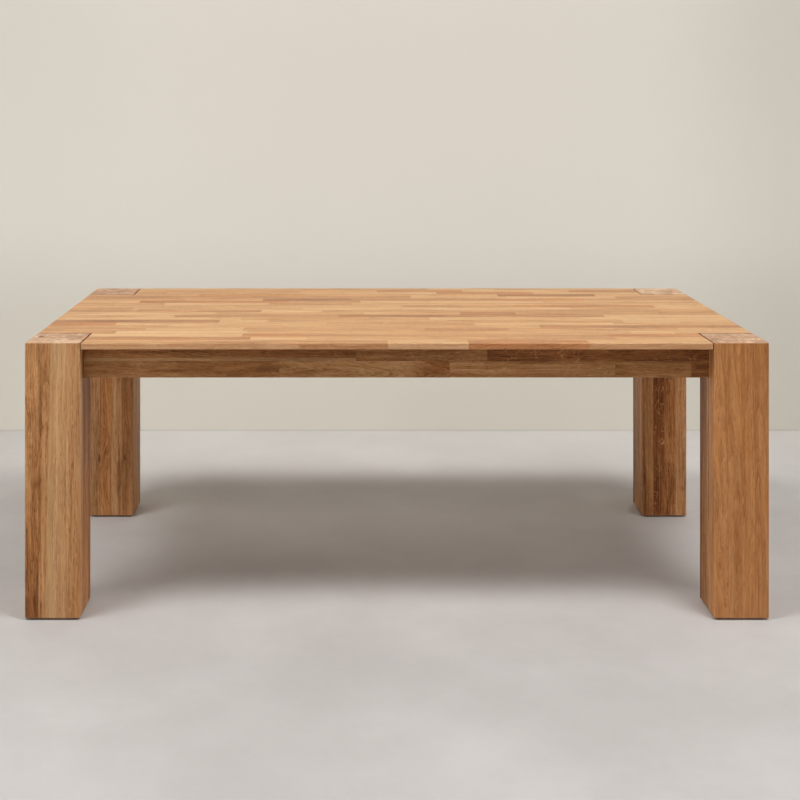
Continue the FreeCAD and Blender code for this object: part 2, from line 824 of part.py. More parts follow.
def make_dowels():
    """Make the dowels between aprons and legs and between cross rails and aprons."""
    apron_dowel = make_cylinder(
        "DowelPattern", "dowel_diameter / 2", "dowel_length", "-dowel_length / 2"
    )
    places = []
    for corner in CORNERS:
        for side in BOTH_WAYS:
            height = f"({APRON_MIDDLE} + {side} * {DOWEL_OFFSET})"
            places.append((corner.placed("leg_width", APRON_LINE, height), Vector(1, 0, 0)))
            places.append((corner.placed(APRON_LINE, "leg_depth", height), Vector(0, 1, 0)))
    repeat("apron_dowels", apron_dowel, places)

    rail_dowel = make_cylinder(
        "RailDowelPattern", "rail_dowel_diameter / 2", "rail_dowel_length", f"-{RAIL_DOWEL_BITE}"
    )
    repeat("rail_dowels", rail_dowel, [
        (
            (
                f"({way} * rail_spacing / 2 + {turn} * {RAIL_DOWEL_OFFSET})",
                f"({side} * {RAIL_SPAN} / 2)",
                f"({UNDER_TOP} - rail_height / 2)",
            ),
            Vector(0, -side, 0),
        )
        for way in BOTH_WAYS
        for turn in BOTH_WAYS
        for side in BOTH_WAYS
    ])


def check_document():
    """Stop if any object failed or any node has no valid shape."""
    for feature in document.Objects:
        if "Invalid" in feature.State or "Error" in feature.State:
            raise ValueError(f"{feature.Name} did not compute")
    for node in nodes:
        if node.Shape.isNull() or not node.Shape.isValid():
            raise ValueError(f"{node.Label} has no valid shape")


def write_nodes():
    """Write each node's shape to its own STEP file."""
    os.makedirs("parts", exist_ok=True)
    for node in nodes:
        node.Shape.exportStep(f"parts/{node.Label}.step")
        print(f"{node.Label}: {len(node.Shape.Solids)} solid(s), {node.Shape.Volume:.0f} mm3")


def main():
    """Build every piece, check the document and write the nodes."""
    fill_sheet()
    make_tabletop()
    for corner in CORNERS:
        make_leg(corner)
        make_foot_pad(corner)
        make_brace(corner)
    make_aprons()
    for name, side in (("left", -1), ("right", 1)):
        make_cross_rail(name, side)
    for place in button_places():
        make_button(place)
    make_hanger_bolts()
    make_screws()
    make_dowels()
    document.recompute()
    check_document()
    write_nodes()


main()
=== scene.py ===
"""Parsons dining table in glued-up oak, dressed around its fixed construction model.

The thin panel top is let in flush between four thick square legs, whose end grain shows in its
corners. Each oak part is cut along its glue lines into staves, and every stave has its own grain.
Units are metres, with +Z up, +X along the table and the origin on the floor under its middle.
"""

import json
import logging
import math
import random
from collections.abc import Callable, Iterator, Sequence
from contextlib import contextmanager
from dataclasses import dataclass, field, replace
from enum import Enum
from functools import partialmethod

import bmesh
import bpy
from bpy.types import Material, Node, NodeSocket, Object, World
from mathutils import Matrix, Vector

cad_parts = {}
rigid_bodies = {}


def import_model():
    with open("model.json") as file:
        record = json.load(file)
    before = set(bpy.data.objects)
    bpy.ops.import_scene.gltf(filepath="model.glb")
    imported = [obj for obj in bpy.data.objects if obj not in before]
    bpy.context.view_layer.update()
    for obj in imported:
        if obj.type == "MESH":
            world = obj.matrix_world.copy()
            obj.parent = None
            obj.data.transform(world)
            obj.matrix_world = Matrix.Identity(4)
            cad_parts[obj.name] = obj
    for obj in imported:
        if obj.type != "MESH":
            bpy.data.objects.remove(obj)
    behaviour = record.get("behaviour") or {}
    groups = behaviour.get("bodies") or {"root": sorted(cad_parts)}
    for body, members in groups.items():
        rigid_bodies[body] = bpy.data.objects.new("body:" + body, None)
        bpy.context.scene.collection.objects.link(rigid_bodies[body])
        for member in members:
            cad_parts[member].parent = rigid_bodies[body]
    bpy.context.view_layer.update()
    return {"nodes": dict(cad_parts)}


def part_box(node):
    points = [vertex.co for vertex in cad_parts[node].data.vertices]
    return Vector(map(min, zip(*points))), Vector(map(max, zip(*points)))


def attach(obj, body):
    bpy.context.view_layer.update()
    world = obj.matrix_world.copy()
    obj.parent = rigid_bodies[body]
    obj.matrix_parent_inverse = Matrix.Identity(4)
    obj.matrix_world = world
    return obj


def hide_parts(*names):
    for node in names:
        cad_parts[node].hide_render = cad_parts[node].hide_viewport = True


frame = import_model()
LOG = logging.getLogger("parsons_dining_table")
MM = 0.001
PER_METRE = 1000.0
Colour = tuple[float, float, float]
Triple = tuple[float, float, float]
HAZE = (0.78, 0.75, 0.695, 1)

# The middle of the gap between top and legs, along and across, its lowest height and its lips' width.
JOINT = (0.8505, 0.3545)
JOINT_FOOT = 0.72
JOINT_LIP = 4 * MM

# Staves reach past the wood by these, so that no glue line is drawn on an outer face.
OVERHANG = 0.06
MARGIN = 0.05
BEYOND = 1.0

FLAT = 0.995  # A face whose normal is this close to an axis is no arris.
SMOOTH = math.radians(30)
SHARP = math.radians(40)


class Grain(Enum):
    """The way the fibres run, as the order of the axes: along them, then the two across."""

    LENGTHWISE = (0, 1, 2)
    CROSSWISE = (1, 0, 2)
    UPRIGHT = (2, 0, 1)


class Grade(Enum):
    """A stave's colour as sorted by the maker: (shade from 0 dark to 1 pale, redness)."""

    PALE = (0.76, 0.05)
    LIGHT = (0.67, 0.20)
    HONEY = (0.58, 0.32)
    AMBER = (0.555, 0.85)
    OLIVE = (0.50, 0.0)
    BROWN = (0.47, 0.50)
    RED = (0.52, 0.95)
    DARK = (0.35, 0.50)


class Num:
    """A socket that carries one number, with Python's arithmetic on it."""

    def __init__(self, bench: "Bench", socket: NodeSocket) -> None:
        """Keeps the socket and the bench that its nodes are added on.

        Args:
            bench: The material's bench.
            socket: The output socket that carries the number.
        """
        self.bench = bench
        self.socket = socket

    def math(self, operation: str, *others: "Num | float") -> "Num":
        """Adds a Math node.

        Args:
            operation: The Math node's operation.
            others: The values after this one.

        Returns:
            The node's result.
        """
        values = dict(enumerate((self, *others)))
        node = self.bench.add("ShaderNodeMath", {"operation": operation}, values)
        return Num(self.bench, node.outputs[0])

    # Python's signs, and the smaller and the larger of two numbers, each as a Math node.
    __add__ = __radd__ = partialmethod(math, "ADD")
    __mul__ = __rmul__ = partialmethod(math, "MULTIPLY")
    __sub__ = partialmethod(math, "SUBTRACT")
    __truediv__ = partialmethod(math, "DIVIDE")
    __pow__ = partialmethod(math, "POWER")
    __abs__ = partialmethod(math, "ABSOLUTE")
    least = partialmethod(math, "MINIMUM")
    most = partialmethod(math, "MAXIMUM")

    def __rsub__(self, other: float) -> "Num":
        """Other less this number."""
        return (self * -1) + other

    def step(self, low: "Num | float", high: "Num | float") -> "Num":
        """Rises smoothly from 0 at low to 1 at high.

        Args:
            low: Where the rise starts; above high it falls instead.
            high: Where it ends.

        Returns:
            A number from 0 to 1.
        """
        settings = {"interpolation_type": "SMOOTHSTEP"}
        inputs = {"Value": self, "From Min": low, "From Max": high}
        node = self.bench.add("ShaderNodeMapRange", settings, inputs)
        return Num(self.bench, node.outputs["Result"])


class Bench:
    """The node tree of one material or world and the few ways in which nodes are added to it."""

    def __init__(self, owner: Material | World) -> None:
        """Empties the node tree.

        Args:
            owner: The material or world.
        """
        owner.use_nodes = True
        self.owner = owner
        self.tree = owner.node_tree
        self.tree.nodes.clear()

    def add(self, kind: str, settings: dict | None = None, inputs: dict | None = None) -> Node:
        """Adds any node.

        Args:
            kind: The node's type.
            settings: Its settings by name.
            inputs: Values, numbers or links of its sockets, by name or index.

        Returns:
            The node.
        """
        node = self.tree.nodes.new(kind)
        for name, value in (settings or {}).items():
            setattr(node, name, value)
        for name, value in (inputs or {}).items():
            source = value.socket if isinstance(value, Num) else value
            if isinstance(source, NodeSocket):
                self.tree.links.new(source, node.inputs[name])
            else:
                node.inputs[name].default_value = source
        return node

    def ramp(self, value: Num, *stops: tuple[float, Colour]) -> NodeSocket:
        """Adds a colour ramp.

        Args:
            value: The number that it is read at.
            stops: The place and colour of each stop, in order; a new ramp has two.

        Returns:
            The colour.
        """
        node = self.add("ShaderNodeValToRGB", inputs={0: value})
        elements = node.color_ramp.elements
        while len(elements) < len(stops):
            elements.new(0.5)
        for element, (place, colour) in zip(elements, stops):
            element.position = place
            element.color = (*colour, 1)
        return node.outputs[0]

    def blend(self, amount: Num | NodeSocket, first: Node, second: Node) -> Node:
        """Mixes two shaders, with the amount as the share of the second."""
        inputs = {0: amount, 1: first.outputs[0], 2: second.outputs[0]}
        return self.add("ShaderNodeMixShader", inputs=inputs)

    def close(self, shader: Node, output: str = "ShaderNodeOutputMaterial") -> Material | World:
        """Ends the tree with a shader and returns its material or world."""
        self.add(output, inputs={"Surface": shader.outputs[0]})
        return self.owner

    def vector(self, operation: str, *values: object) -> NodeSocket:
        """Adds a Vector Math node and returns its vector."""
        node = self.add("ShaderNodeVectorMath", {"operation": operation}, dict(enumerate(values)))
        return node.outputs[0]

    def split(self, vector: NodeSocket) -> list[Num]:
        """The three numbers of a vector."""
        node = self.add("ShaderNodeSeparateXYZ", inputs={0: vector})
        return [Num(self, socket) for socket in node.outputs]

    def join(self, *numbers: Num | float) -> NodeSocket:
        """A vector of three numbers."""
        return self.add("ShaderNodeCombineXYZ", inputs=dict(enumerate(numbers))).outputs[0]

    def place(self) -> NodeSocket:
        """The point on the object, in metres."""
        return self.add("ShaderNodeTexCoord").outputs["Object"]

    def facing(self) -> NodeSocket:
        """The way that the surface faces, in the object's own axes."""
        return self.add("ShaderNodeTexCoord").outputs["Normal"]

    def attribute(self, name: str) -> NodeSocket:
        """A named vector of the mesh."""
        return self.add("ShaderNodeAttribute", {"attribute_name": name}).outputs["Vector"]

    def noise(self, where: NodeSocket, scale: float = 1, detail: float = 2, rough: float = 0.5) -> Num:
        """Adds a noise texture.

        Args:
            where: The point that it is read at.
            scale: Its scale.
            detail: The octaves on top of the first.
            rough: How strong they are.

        Returns:
            A number around 0.5.
        """
        inputs = {"Vector": where, "Scale": scale, "Detail": detail, "Roughness": rough}
        return Num(self, self.add("ShaderNodeTexNoise", inputs=inputs).outputs["Fac"])

    def mix(self, amount: Num | float, first: object, second: object, blend: str = "MIX") -> NodeSocket:
        """Mixes two colours.

        Args:
            amount: The share of the second.
            first: A colour or a link.
            second: A colour or a link.
            blend: The Mix node's blend type.

        Returns:
            The mixed colour.
        """
        colours = [(*c, 1) if isinstance(c, tuple) else c for c in (first, second)]
        settings = {"data_type": "RGBA", "blend_type": blend, "clamp_factor": True}
        node = self.add("ShaderNodeMix", settings, {0: amount, 6: colours[0], 7: colours[1]})
        return node.outputs[2]

    def shade(self, inputs: dict, height: Num, depth: float, strength: float) -> Material:
        """Adds the shader and the output.

        Args:
            inputs: The shader's sockets.
            height: What the bump follows, from 0 to 1.
            depth: The height of the bump in metres.
            strength: The bump's strength.

        Returns:
            The finished material.
        """
        relief = {"Height": height, "Distance": depth, "Strength": strength}
        bump = self.add("ShaderNodeBump", inputs=relief)
        shader = self.add("ShaderNodeBsdfPrincipled", inputs={**inputs, "Normal": bump.outputs[0]})
        return self.close(shader)


@dataclass(frozen=True)
class OakFinish:
    """Oiled oak, drawn as solid wood inside each stave: rings round a pith, fibres, pores and rays."""

    name: str
    grain: Grain
    dark: Colour = (0.140, 0.048, 0.011)
    brown: Colour = (0.370, 0.170, 0.060)
    light: Colour = (0.585, 0.322, 0.142)
    pale: Colour = (0.725, 0.475, 0.255)
    red: Colour = (1.04, 0.81, 0.60)
    end_brown: Colour = (0.33, 0.190, 0.110)
    end_pink: Colour = (0.470, 0.295, 0.188)
    end_straw: Colour = (0.545, 0.372, 0.240)
    end_pale: Colour = (0.66, 0.495, 0.340)
    end_rose: Colour = (1.03, 0.92, 0.86)
    flush: Colour = (1.0, 0.885, 0.93)
    sap: Colour = (0.68, 0.42, 0.19)
    knot: Colour = (0.11, 0.045, 0.018)
    # Dark glue lines, and also the painted shade on the lips of the joint between top and legs.
    glue_and_shade: Colour = (0.10, 0.045, 0.018)
    sap_width: float = 9.0
    shift: float = 0.0
    contrast: float = 1.0
    glue_width: float = 0.35
    roughness: float = 0.47
    gloss: float = 0.5
    length: float = 1.0
    knot_squash: float = 1.0

    def material(self) -> Material:
        """Builds the finish.

        Returns:
            The material. Lengths inside it are in millimetres from the stave's middle.
        """
        bench = Bench(bpy.data.materials.new(self.name))
        order = self.grain.value
        middle = bench.attribute("stave_middle")
        from_middle = bench.vector("SUBTRACT", bench.place(), middle)
        place = bench.vector("MULTIPLY", from_middle, (PER_METRE,) * 3)
        local = bench.split(place)
        along, across, deep = (local[i] for i in order)
        half = bench.split(bench.attribute("stave_half"))
        seed, tone, redness = bench.split(bench.attribute("stave_look"))
        figure, slope, fade = bench.split(bench.attribute("stave_marks"))
        knot_size, flake, arris = bench.split(bench.attribute("stave_spots"))
        contrast, end_lift, blush = bench.split(bench.attribute("stave_depth"))
        sap_strength, sap_slope, flushed = bench.split(bench.attribute("stave_sapwood"))
        ripe_from, ripe_to, ripeness = bench.split(bench.attribute("stave_ripe"))
        strong = contrast * self.contrast
        draw = bench.add("ShaderNodeTexWhiteNoise", {"noise_dimensions": "1D"}, {"W": seed})
        chance = bench.split(draw.outputs["Color"])
        shuffle = bench.vector("MULTIPLY", draw.outputs["Color"], (310.0, 170.0, 230.0))

        def stretched(length: float, width: float, depth: float | None = None) -> NodeSocket:
            """The shuffled point, at a rate for each axis. Without a depth, the width's is taken."""
            point = bench.join(along * length, across * width, deep * (width if depth is None else depth))
            return bench.vector("ADD", point, shuffle)

        from_knot = bench.split(bench.vector("SUBTRACT", place, bench.attribute("stave_knot")))
        ways = [from_knot[order[0]] * 0.22, from_knot[order[1]], from_knot[order[2]] * self.knot_squash]
        knot_far = sum((way * way for way in ways[1:]), ways[0] * ways[0]).math("SQRT")
        knot_near = knot_far / knot_size.most(0.01)
        bulge = knot_near.step(4.0, 0.5) * knot_size * 0.6

        wander = bench.noise(stretched(0.0020, 0.004), detail=1) - 0.5
        sway = bench.noise(stretched(0.0050, 0.022), detail=2) - 0.5
        bend = sway * (figure * 34 + 4) + along * slope + bulge
        across = across + bend
        deep = deep + bend * 0.6
        pith_across = (chance[0] - 0.5) * 120 + along * ((chance[2] - 0.5) * 0.07) + wander * 50
        side = (chance[2] * 7.0).math("FRACT").math("GREATER_THAN", 0.5) * 2 - 1
        pith_deep = side * (chance[1] * 46 + 18) + along * ((chance[0] - 0.5) * 0.05) + wander * 24
        off_across = across - pith_across
        off_deep = deep - pith_deep
        radius = (off_across * off_across + off_deep * off_deep).math("SQRT")
        ring_width = (chance[1] * 5.0).math("FRACT") * 1.6 + 2.2
        ring = radius / ring_width
        growth = bench.noise(bench.join(ring * 0.23, seed * 90, 0.0), detail=1) - 0.5
        ring = ring + growth * 4.0
        within = ring.math("FRACT")
        year = bench.noise(bench.join(ring.math("FLOOR") * 3.7, seed * 57, 0.0), detail=0)
        early = (1 - within) ** 1.8 * within.step(0.0, 0.07) * (year * 1.4 + 0.1)

        drift = bench.noise(stretched(0.0042, 0.026), detail=2) - 0.5
        streaks = bench.noise(stretched(0.0050 / self.length, 0.085), detail=3, rough=0.6) - 0.5
        mottle = bench.noise(stretched(0.022, 0.080), detail=3, rough=0.6) - 0.5
        fibres = bench.noise(stretched(0.013 / self.length, 0.52), detail=3, rough=0.7) - 0.5
        dashes = bench.noise(stretched(0.060 / self.length, 0.72), detail=1, rough=0.6).step(0.56, 0.68)
        pores = bench.noise(stretched(0.09 / self.length, 2.1), detail=2).step(0.56, 0.70)
        pores = pores * (early * 0.75 + 0.25)
        angle = off_deep.math("ARCTAN2", off_across)
        ray_at = bench.join(along * 0.040 + seed * 70, angle * 46, radius * 0.10)
        rays = bench.noise(ray_at, detail=1).step(0.61, 0.72)
        contour = abs(bench.noise(stretched(0.055, 0.040), detail=1) - 0.5).step(0.030, 0.004)
        flakes = contour * bench.noise(stretched(0.030, 0.030), detail=0).step(0.48, 0.60) * flake

        grainy = drift * 0.44 + streaks * 0.66 + fibres * 0.66 + growth * 0.30
        grainy = grainy + mottle * (figure * 0.30 + 0.10) - early * 0.20 - dashes * 0.22
        grainy = grainy - pores * 0.16 + rays * 0.12 + flakes * 0.34
        ripe = (along + across * 0.8).step(ripe_from, ripe_to) * ripeness
        shade = tone + self.shift + fade * along * MM + grainy * strong - ripe
        stops = (0.0, self.dark), (0.34, self.brown), (0.66, self.light), (1.0, self.pale)
        colour = bench.ramp(shade, *stops)
        redness = redness + blush + drift * 0.9 - streaks * 0.5 + ripe
        colour = bench.mix(redness, colour, self.red, "MULTIPLY")
        colour = bench.mix(flushed, colour, self.flush, "MULTIPLY")

        sap_side = bench.attribute("stave_sap")
        sap_axis = bench.vector("ABSOLUTE", sap_side)
        reach = bench.split(bench.vector("MULTIPLY", bench.attribute("stave_half"), sap_axis))
        sap_edge = (reach[0] + reach[1] + reach[2]) * PER_METRE
        sap_back = bench.split(bench.vector("MULTIPLY", place, sap_side))
        sap_edge = sap_edge - sap_back[0] - sap_back[1] - sap_back[2] + sway * 6 + along * sap_slope
        sap_on = bench.split(sap_axis)
        sapwood = sap_edge.step(self.sap_width * 1.25, self.sap_width * 0.75)
        sapwood = sapwood * (sap_on[0] + sap_on[1] + sap_on[2])
        colour = bench.mix(sapwood * sap_strength * (fibres * 1.5 + 0.60), colour, self.sap)

        facing = abs(bench.split(bench.facing())[order[0]])
        end = facing.step(0.55, 0.9)
        blotch = bench.noise(stretched(0.0, 0.045, 0.028), detail=2, rough=0.6) - 0.5
        rosy = bench.noise(stretched(0.0, 0.030, 0.018), detail=1) - 0.5
        end_tone = blotch * 1.8 + (growth + streaks) * 0.4 + fibres * 0.3 + (chance[0] - 0.5) * 0.4
        end_tone = end_tone + end_lift + 0.5 - early * 0.15 - pores * 0.1 + rays * 0.1
        stops = (0.0, self.end_brown), (0.45, self.end_pink), (0.72, self.end_straw), (1.0, self.end_pale)
        end_colour = bench.ramp(end_tone, *stops)
        end_colour = bench.mix(rosy * 2.0 + 0.35, end_colour, self.end_rose, "MULTIPLY")
        colour = bench.mix(end, colour, end_colour)
        colour = bench.mix(knot_near.step(1.0, 0.35) * 0.8, colour, self.knot)

        gaps = [half[i] * PER_METRE - abs(local[i]) for i in range(3)]
        nearest = gaps[0].least(gaps[1]).least(gaps[2])
        glue = nearest.step(self.glue_width, self.glue_width * 0.25)
        colour = bench.mix(glue * 0.55, colour, self.glue_and_shade)
        wear_and_shade = arris * (fibres + 0.75)
        colour = bench.mix(wear_and_shade * 0.15, colour, self.pale)
        # Painted shade: the lips of the joint between top and legs, marked below 0, are darkened as shade
        # in the gap.
        colour = bench.mix(arris * -0.85, colour, self.glue_and_shade)

        rough = fibres * 0.22 + pores * 0.14 - rays * 0.06 - wear_and_shade * 0.08 + end * 0.12 + self.roughness
        height = 0.7 - pores * 0.45 - dashes * 0.15 - early * 0.12 + fibres * 0.25 - glue * 0.5
        inputs = {"Base Color": colour, "Roughness": rough, "Specular IOR Level": self.gloss}
        return bench.shade(inputs, height, depth=0.00025, strength=0.55)


@dataclass(frozen=True)
class BeechFinish:
    """Planed beech without oil: fine straight grain with short dark flecks."""

    name: str
    grain: Grain
    aslant: bool = False
    pale: Colour = (0.62, 0.430, 0.275)
    deep: Colour = (0.42, 0.255, 0.140)
    fleck: Colour = (0.26, 0.130, 0.06)
    end: Colour = (0.36, 0.215, 0.12)

    def material(self) -> Material:
        """Builds the finish.

        Returns:
            The material.
        """
        bench = Bench(bpy.data.materials.new(self.name))
        local, facing = bench.split(bench.place()), bench.split(bench.facing())
        if self.aslant:
            flip = (local[0] * local[1]).math("SIGN")
            local, facing = self._turned(local, flip), self._turned(facing, flip)
        along, across, deep = (local[i] * PER_METRE for i in self.grain.value)

        def stretched(length: float, width: float) -> NodeSocket:
            """The point in millimetres, at one rate along the grain and one across it."""
            return bench.join(along * length, across * width, deep * width)

        bands = bench.noise(stretched(0.003, 0.07), detail=3) - 0.5
        fibres = bench.noise(stretched(0.012, 0.8), detail=3, rough=0.65) - 0.5
        flecks = bench.noise(stretched(0.15, 1.2), detail=1).step(0.60, 0.70)
        board = bench.noise(stretched(0.002, 0.011), detail=0) - 0.5
        late = (across * 0.16 + deep * 0.09 + bands * 5).math("FRACT").step(0.78, 0.97)
        shade = bands * 1.6 + fibres * 1.5 + board * 1.2 - late * 0.28 + 0.56
        colour = bench.mix(shade, self.deep, self.pale)
        colour = bench.mix(flecks * 0.50, colour, self.fleck)
        end = abs(facing[self.grain.value[0]]).step(0.6, 0.95)
        colour = bench.mix(end * 0.5, colour, self.end)
        rough = fibres * 0.2 + flecks * 0.1 + 0.5
        height = fibres * 0.6 - flecks * 0.3
        return bench.shade({"Base Color": colour, "Roughness": rough}, height, depth=0.0002, strength=0.4)

    def _turned(self, numbers: list[Num], flip: Num) -> list[Num]:
        """Turns a point or a normal into the axes of a block that lies across its corner.

        Args:
            numbers: The point or normal.
            flip: 1 or -1, for the way in which the block lies.

        Returns:
            The numbers along the block, across it and upward.
        """
        x, y, up = numbers
        root = math.sqrt(0.5)
        return [(x - flip * y) * root, (y + flip * x) * root, up]


@dataclass(frozen=True)
class ZincFinish:
    """Zinc-plated steel: dull crystalline grey, with threads where the pitch isn't 0."""

    name: str = "zinc plating"
    pitch: float = 0.0
    dull: Colour = (0.42, 0.42, 0.41)
    bright: Colour = (0.72, 0.72, 0.70)
    scratch: Colour = (0.82, 0.82, 0.80)
    stained: Colour = (0.50, 0.46, 0.36)
    groove_shade: Colour = (0.16, 0.15, 0.14)

    def material(self) -> Material:
        """Builds the finish.

        Returns:
            The material.
        """
        bench = Bench(bpy.data.materials.new(self.name))
        place = bench.place()
        bloom = bench.noise(place, 420, 3, 0.6)
        scratches = bench.noise(bench.vector("MULTIPLY", place, (2600.0, 900.0, 5200.0)), 1, 2, 0.7)
        stain = bench.noise(place, 38, 2).step(0.52, 0.72)
        colour = bench.mix(bloom, self.dull, self.bright)
        colour = bench.mix(scratches.step(0.60, 0.75) * 0.35, colour, self.scratch)
        colour = bench.mix(stain * 0.30, colour, self.stained)
        rough = bloom * 0.25 + stain * 0.12 + 0.22
        inputs = {"Base Color": colour, "Roughness": rough, "Metallic": 1.0}
        if not self.pitch:
            return bench.shade(inputs, scratches, depth=0.00004, strength=0.5)
        x, y, _ = bench.split(place)
        turn = ((abs(x) + abs(y)) * (math.sqrt(0.5) / self.pitch)).math("FRACT")
        thread = abs(turn - 0.5) * 2
        # Painted shade: the bottoms of the thread's grooves, drawn only as bumps, are darkened.
        inputs["Base Color"] = bench.mix(thread.step(0.5, 0.1) * 0.6, colour, self.groove_shade)
        return bench.shade(inputs, thread, depth=self.pitch * 0.6, strength=0.9)


@dataclass(frozen=True)
class FeltFinish:
    """Dark brown pressed felt with matted fibres."""

    name: str = "pressed felt"
    deep: Colour = (0.050, 0.027, 0.014)
    pale: Colour = (0.175, 0.105, 0.062)
    tuft: Colour = (0.20, 0.135, 0.085)

    def material(self) -> Material:
        """Builds the finish.

        Returns:
            The material.
        """
        bench = Bench(bpy.data.materials.new(self.name))
        place = bench.place()
        mat = bench.noise(place, 900, 4, 0.7)
        hairs = bench.noise(bench.vector("MULTIPLY", place, (3000.0, 900.0, 1800.0)), 1, 3, 0.7)
        tufts = bench.noise(place, 120, 2)
        nap = mat * 0.6 + hairs * 0.4
        colour = bench.mix(nap, self.deep, self.pale)
        colour = bench.mix(tufts.step(0.55, 0.75) * 0.4, colour, self.tuft)
        inputs = {"Base Color": colour, "Roughness": 0.95, "Sheen Weight": 0.3}
        return bench.shade(inputs, nap, depth=0.0004, strength=0.8)


@dataclass(frozen=True)
class StageFinish:
    """A plain pale floor or wall, seen only from its front so that it hides nothing from behind."""

    name: str
    base: Colour
    fleck: Colour
    roughness: float
    mottle: float
    glow: Triple
    losses: Triple
    seam: tuple[float, float]
    haze_reach: tuple[float, float] = (2.9, 7.5)
    lit: Colour = (0.90, 0.87, 0.80)
    dimmed: Colour = (0.10, 0.08, 0.05)
    seam_strength: float = 0.11

    def material(self) -> Material:
        """Builds the finish.

        Returns:
            The material, paler past a line across it as painted light, darker at its left, right and far
            end and at the seam between floor and wall as painted shade, and lost in the haze far from the
            table.
        """
        bench = Bench(bpy.data.materials.new(self.name))
        place = bench.place()
        side, far, _ = bench.split(place)
        clouds = bench.noise(place, 1.6, 4, 0.6)
        grit = bench.noise(place, 42, 3, 0.6)
        shade = clouds.step(0.30, 0.75) * self.mottle + (grit - 0.5) * self.mottle * 0.35
        colour = bench.mix(shade, self.base, self.fleck)
        # Painted light past the glow line; painted shade at the left, right and far ends and at the seam.
        start, end, amount = self.glow
        colour = bench.mix(far.step(start, end) * amount, colour, self.lit)
        ends = (side.step(-0.9, -1.7), side.step(1.1, 1.8), far.step(0.85, 1.9))
        lost = [there * loss for there, loss in zip(ends, self.losses)]
        seam_at, seam_width = self.seam
        at_seam = abs(far - seam_at).step(seam_width, seam_width * 0.3) * self.seam_strength
        dim = lost[0] + lost[1] + lost[2] + at_seam
        colour = bench.mix(dim, colour, self.dimmed)
        rough = clouds * 0.12 + self.roughness
        shader = bench.add("ShaderNodeBsdfPrincipled", inputs={"Base Color": colour, "Roughness": rough})
        haze = bench.add("ShaderNodeEmission", inputs={"Color": HAZE})
        away = (side * side + far * far).math("SQRT").step(*self.haze_reach)
        seen = Num(bench, bench.add("ShaderNodeLightPath").outputs["Is Camera Ray"])
        veiled = bench.blend(away * seen, shader, haze)
        clear = bench.add("ShaderNodeBsdfTransparent")
        back = bench.add("ShaderNodeNewGeometry").outputs["Backfacing"]
        return bench.close(bench.blend(back, veiled, clear))


def select_only(obj: Object | None) -> None:
    """Leaves only this object selected and active, or nothing at all."""
    for other in bpy.context.view_layer.objects:
        other.select_set(other == obj)
    bpy.context.view_layer.objects.active = obj


@contextmanager
def editing(obj: Object) -> Iterator[None]:
    """Opens one object in edit mode and closes it again.

    Args:
        obj: The object to shape.
    """
    select_only(obj)
    bpy.ops.object.mode_set(mode="EDIT")
    bpy.ops.mesh.select_mode(type="FACE")
    yield
    bpy.ops.object.mode_set(mode="OBJECT")
    select_only(None)


def pick(obj: Object, wanted: Callable[[Vector], bool]) -> None:
    """Selects the faces whose middle is wanted, in edit mode.

    Args:
        obj: The object in edit mode.
        wanted: Says whether a face with this middle is selected.
    """
    mesh = bmesh.from_edit_mesh(obj.data)
    for face in mesh.faces:
        face.select_set(wanted(face.calc_center_median()))
    bmesh.update_edit_mesh(obj.data)


def cut(axis: int, at: float) -> None:
    """Cuts the selected faces by a plane, in edit mode.

    Args:
        axis: The axis that the plane is square to.
        at: The plane's place on it.
    """
    plane_co, plane_no = [0.0] * 3, [0.0] * 3
    plane_co[axis], plane_no[axis] = at, 1.0
    bpy.ops.mesh.bisect(plane_co=plane_co, plane_no=plane_no, threshold=1e-6)


def cut_evenly(axis: int, first: float, pitch: float, count: int) -> None:
    """Cuts all of the object into slices of one width, in edit mode.

    Args:
        axis: The axis that the cuts are square to.
        first: Where the first slice starts on it.
        pitch: The width of a slice.
        count: The number of slices.
    """
    for line in range(1, count):
        bpy.ops.mesh.select_all(action="SELECT")
        cut(axis, first + line * pitch)


def copy_of(node: str, name: str) -> Object:
    """Copies a construction node into a new piece of merged, flat faces.

    Args:
        node: The construction node.
        name: The new piece's name.

    Returns:
        The new object, at the origin, with its place in its mesh.
    """
    mesh = frame["nodes"][node].data.copy()
    mesh.name = name
    obj = bpy.data.objects.new(name, mesh)
    bpy.context.scene.collection.objects.link(obj)
    with editing(obj):
        bpy.ops.mesh.select_all(action="SELECT")
        bpy.ops.mesh.customdata_custom_splitnormals_clear()
        bpy.ops.mesh.remove_doubles(threshold=1e-6)
        bpy.ops.mesh.dissolve_limited(angle_limit=math.radians(0.2))
    return obj


def ease_edges(obj: Object, size: float) -> None:
    """Takes the sharpness off a piece's edges.

    Args:
        obj: The piece, with its faces merged.
        size: The width of the chamfer.
    """
    with editing(obj):
        bpy.ops.mesh.select_all(action="DESELECT")
        bpy.ops.mesh.select_mode(type="EDGE")
        bpy.ops.mesh.edges_select_sharp(sharpness=SHARP)
        bpy.ops.mesh.bevel(offset=size, segments=1, affect="EDGES", clamp_overlap=True)


def settle(obj: Object, slot: str, material: Material, *nodes: str) -> Object:
    """Smooths a piece's shallow edges, gives it its finish, hangs it on the root body and hides the nodes
    it replaces.

    Args:
        obj: The piece.
        slot: The record's material slot; not used.
        material: The finish.
        nodes: The construction nodes that it replaces.

    Returns:
        The same piece.
    """
    select_only(obj)
    bpy.ops.object.shade_smooth_by_angle(angle=SMOOTH)
    select_only(None)
    obj.data.materials.clear()
    obj.data.materials.append(material)
    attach(obj, "root")
    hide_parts(*nodes)
    LOG.info("%s: %d faces", obj.name, len(obj.data.polygons))
    return obj


def dress(node: str, material: Material) -> None:
    """Gives a construction node that stays its finish.

    Args:
        node: The node's name.
        material: The finish.
    """
    for entry in frame["nodes"][node].material_slots:
        entry.material = material
    LOG.info("%s: construction solid with finish %s", node, material.name)


